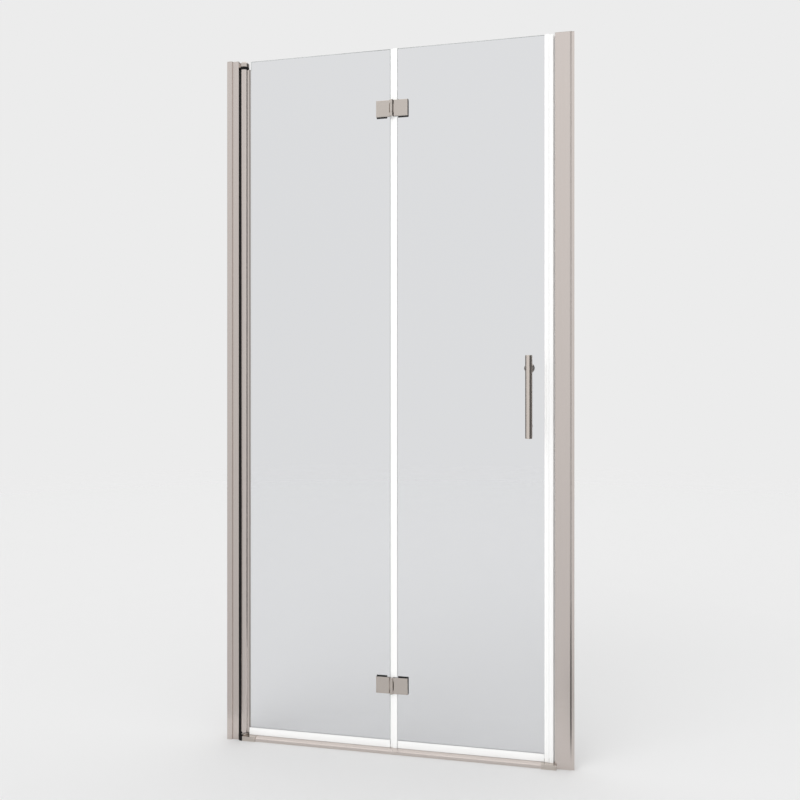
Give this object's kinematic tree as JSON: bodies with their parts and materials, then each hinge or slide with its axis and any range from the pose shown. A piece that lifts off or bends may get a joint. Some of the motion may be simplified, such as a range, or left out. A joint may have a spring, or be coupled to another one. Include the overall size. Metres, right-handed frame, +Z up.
{
  "type": "folding pivot shower door",
  "caption": "Shower door of hinged clear glass leaves: one pivots inwards on a round stile in a wall jamb, the other folds and closes on a magnetic strip, with a bar handle.",
  "frame": {"origin": "on the shower tray, at the middle of the opening and of the glass thickness", "axes": "+X right along the opening as seen from the room, +Y into the shower, +Z up"},
  "size_m": [1, 0.082, 2],
  "materials": {
    "satin_nickel_aluminium": "brushed, nickel-toned anodised",
    "brushed_nickel_fitting": "brushed nickel plate",
    "clear_glass": "clear toughened glass, polished edges",
    "white_seal": "white flexible PVC",
    "black_rubber": "black rubber",
    "black_plastic": "black acetal",
    "grey_gasket": "grey flexible PVC",
    "magnet_strip": "bonded ferrite strip",
    "stainless_steel": "plain stainless steel",
    "grey_plastic": "nickel-grey ABS"
  },
  "bodies": {
    "frame": {"left_wall_channel": "satin_nickel_aluminium", "pivot_jamb": "satin_nickel_aluminium", "pivot_jamb_cover": "grey_plastic", "pivot_jamb_screws": "stainless_steel", "pivot_jamb_screw_caps": "grey_plastic", "pivot_seal": "black_rubber", "top_pivot_block": "brushed_nickel_fitting", "top_pivot_pin": "stainless_steel", "top_block_screws": "stainless_steel", "bottom_pivot_block": "brushed_nickel_fitting", "bottom_pivot_pin": "stainless_steel", "bottom_block_screws": "stainless_steel", "right_wall_channel": "satin_nickel_aluminium", "strike_jamb": "satin_nickel_aluminium", "strike_jamb_cover": "grey_plastic", "strike_jamb_screws": "stainless_steel", "strike_jamb_screw_caps": "grey_plastic", "strike_seal": "white_seal", "strike_magnet": "magnet_strip", "sill_bar": "satin_nickel_aluminium", "left_sill_cap": "brushed_nickel_fitting", "right_sill_cap": "brushed_nickel_fitting"},
    "pivot_leaf": {"pivot_stile": "satin_nickel_aluminium", "top_bush": "black_plastic", "bottom_bush": "black_plastic", "glazing_gasket": "grey_gasket", "pivot_glass": "clear_glass", "pivot_bottom_seal": "white_seal", "upper_hinge_pivot_leaf": "brushed_nickel_fitting", "upper_hinge_pivot_plate": "brushed_nickel_fitting", "upper_hinge_pivot_gaskets": "black_rubber", "upper_hinge_pivot_screws": "stainless_steel", "lower_hinge_pivot_leaf": "brushed_nickel_fitting", "lower_hinge_pivot_plate": "brushed_nickel_fitting", "lower_hinge_pivot_gaskets": "black_rubber", "lower_hinge_pivot_screws": "stainless_steel", "upper_hinge_pin": "stainless_steel"},
    "folding_leaf": {"folding_glass": "clear_glass", "upper_centre_seal": "white_seal", "middle_centre_seal": "white_seal", "lower_centre_seal": "white_seal", "folding_bottom_seal": "white_seal", "closing_seal": "white_seal", "closing_magnet": "magnet_strip", "upper_hinge_folding_leaf": "brushed_nickel_fitting", "upper_hinge_folding_plate": "brushed_nickel_fitting", "upper_hinge_folding_gaskets": "black_rubber", "upper_hinge_folding_screws": "stainless_steel", "lower_hinge_folding_leaf": "brushed_nickel_fitting", "lower_hinge_folding_plate": "brushed_nickel_fitting", "lower_hinge_folding_gaskets": "black_rubber", "lower_hinge_folding_screws": "stainless_steel", "lower_hinge_pin": "stainless_steel", "handle_bar": "brushed_nickel_fitting", "handle_posts": "brushed_nickel_fitting", "outer_washers": "grey_gasket", "inner_washers": "grey_gasket", "handle_studs": "stainless_steel", "inside_knob": "brushed_nickel_fitting", "inside_cap": "brushed_nickel_fitting"}
  },
  "joints": [
    {"name": "pivot_swing", "type": "hinge", "parent": "frame", "child": "pivot_leaf", "pos_m": [-0.452, 0, 0], "axis": [0, 0, 1], "range_deg": [0, 90]},
    {"name": "leaf_fold", "type": "hinge", "parent": "pivot_leaf", "child": "folding_leaf", "pos_m": [-0.006, -0.009, 0], "axis": [0, 0, -1], "range_deg": [0, 170]}
  ]
}
